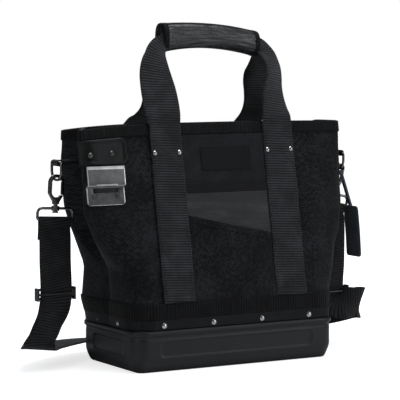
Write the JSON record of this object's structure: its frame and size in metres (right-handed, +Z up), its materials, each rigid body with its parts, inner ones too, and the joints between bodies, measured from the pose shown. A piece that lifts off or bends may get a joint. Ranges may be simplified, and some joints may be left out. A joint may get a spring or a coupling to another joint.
{
  "type": "garden tool bag",
  "caption": "Open-topped canvas tote with a moulded base tray, webbing handles with a wrapped grip, front pocket, tape clip and a clip-on shoulder strap.",
  "frame": {"origin": "centre of the tray's flat underside", "axes": "+Z up, +X along the bag towards the hang-tag side, -Y out of the front with the pocket and tape clip"},
  "size_m": [0.5805, 0.2345, 0.4922],
  "materials": {
    "tray_plastic": "fine moulded texture, satin",
    "canvas": "coarse black ballistic weave",
    "hem": "smooth coated strip",
    "grosgrain": "ribbed binding tape",
    "webbing": "ribbed charcoal webbing",
    "binding": "thin folded binding",
    "facing": "close smooth weave",
    "label": "satin woven label, plain",
    "leather": "grained black leather, soft sheen",
    "nickel": "polished nickel",
    "steel": "brushed grey steel",
    "gunmetal": "dark polished plating",
    "slider_metal": "black coated wire",
    "tag_leather": "grained black leather",
    "tag_edge": "navy painted edge"
  },
  "bodies": {
    "bag": {"back_strap_left": "webbing", "back_strap_right": "webbing", "back_strap_rivets": "nickel", "base_rivets": "nickel", "base_tray": "tray_plastic", "clip_leather": "leather", "clip_plate": "steel", "clip_rivets_lower": "steel", "clip_rivets_upper": "nickel", "front_facing": "facing", "front_pocket": "canvas", "front_strap_left": "webbing", "front_strap_right": "webbing", "front_strap_rivets": "nickel", "hem_strip": "hem", "left_strap_loop": "gunmetal", "left_tab": "webbing", "lower_band": "grosgrain", "pocket_binding": "binding", "pocket_leather": "leather", "right_strap_loop": "gunmetal", "right_tab": "webbing", "shoulder_strap": "webbing", "top_binding": "grosgrain", "tote_shell": "canvas", "woven_label": "label"},
    "front_handle": {"front_handle_loop": "webbing", "grip_front_half": "leather", "grip_front_cuff_left": "binding", "grip_front_cuff_right": "binding"},
    "back_handle": {"back_handle_loop": "webbing", "grip_back_half": "leather", "grip_back_cuff_left": "binding", "grip_back_cuff_right": "binding"},
    "left_ring": {"left_ring": "gunmetal"},
    "right_ring": {"right_ring": "gunmetal"},
    "left_hook": {"left_hook": "gunmetal"},
    "right_hook": {"right_hook": "gunmetal"},
    "left_gate": {"left_gate": "gunmetal"},
    "right_gate": {"right_gate": "gunmetal"},
    "left_slider": {"left_slider": "slider_metal"},
    "right_slider": {"right_slider": "slider_metal"},
    "tag": {"hang_tag": "tag_leather", "tag_strap": "tag_edge"}
  },
  "joints": [
    {"name": "front_handle_swing", "type": "hinge", "parent": "bag", "child": "front_handle", "pos_m": [0, -0.0435, 0.3525], "axis": [1, 0, 0], "range_deg": [0, 165]},
    {"name": "back_handle_swing", "type": "hinge", "parent": "bag", "child": "back_handle", "pos_m": [0, 0.0435, 0.3525], "axis": [-1, 0, 0], "range_deg": [0, 165]},
    {"name": "left_ring_swing", "type": "hinge", "parent": "bag", "child": "left_ring", "pos_m": [-0.247, 0, 0.296], "axis": [0, 1, 0], "range_deg": [-6, 6]},
    {"name": "right_ring_swing", "type": "hinge", "parent": "bag", "child": "right_ring", "pos_m": [0.241, 0.018, 0.296], "axis": [0, 1, 0], "range_deg": [-5, 5]},
    {"name": "left_hook_swivel", "type": "hinge", "parent": "bag", "child": "left_hook", "pos_m": [-0.24909, 0, 0.23205], "axis": [0.0523, 0, 0.9986], "range_deg": [-15, 15]},
    {"name": "right_hook_swivel", "type": "hinge", "parent": "bag", "child": "right_hook", "pos_m": [0.23268, 0.018, 0.23287], "axis": [0.2079, 0, 0.9781], "range_deg": [-8, 8]},
    {"name": "left_gate_hinge", "type": "hinge", "parent": "left_hook", "child": "left_gate", "pos_m": [-0.23842, 0, 0.25232], "axis": [0, -1, 0], "range_deg": [0, 24], "stiffness_Nm_per_rad": 0.02, "springref_deg": -14.32},
    {"name": "right_gate_hinge", "type": "hinge", "parent": "right_hook", "child": "right_gate", "pos_m": [0.2464, 0.018, 0.25122], "axis": [0, -1, 0], "range_deg": [0, 24], "stiffness_Nm_per_rad": 0.02, "springref_deg": -14.32},
    {"name": "left_slider_travel", "type": "slide", "parent": "bag", "child": "left_slider", "axis": [0, 0, 1], "range_m": [0, 0.065]},
    {"name": "right_slider_travel", "type": "slide", "parent": "bag", "child": "right_slider", "axis": [0, 0, 1], "range_m": [0, 0.08]},
    {"name": "tag_swing", "type": "hinge", "parent": "right_ring", "child": "tag", "pos_m": [0.241, 0.011, 0.2731], "axis": [0, 1, 0], "range_deg": [-40, 0]}
  ]
}
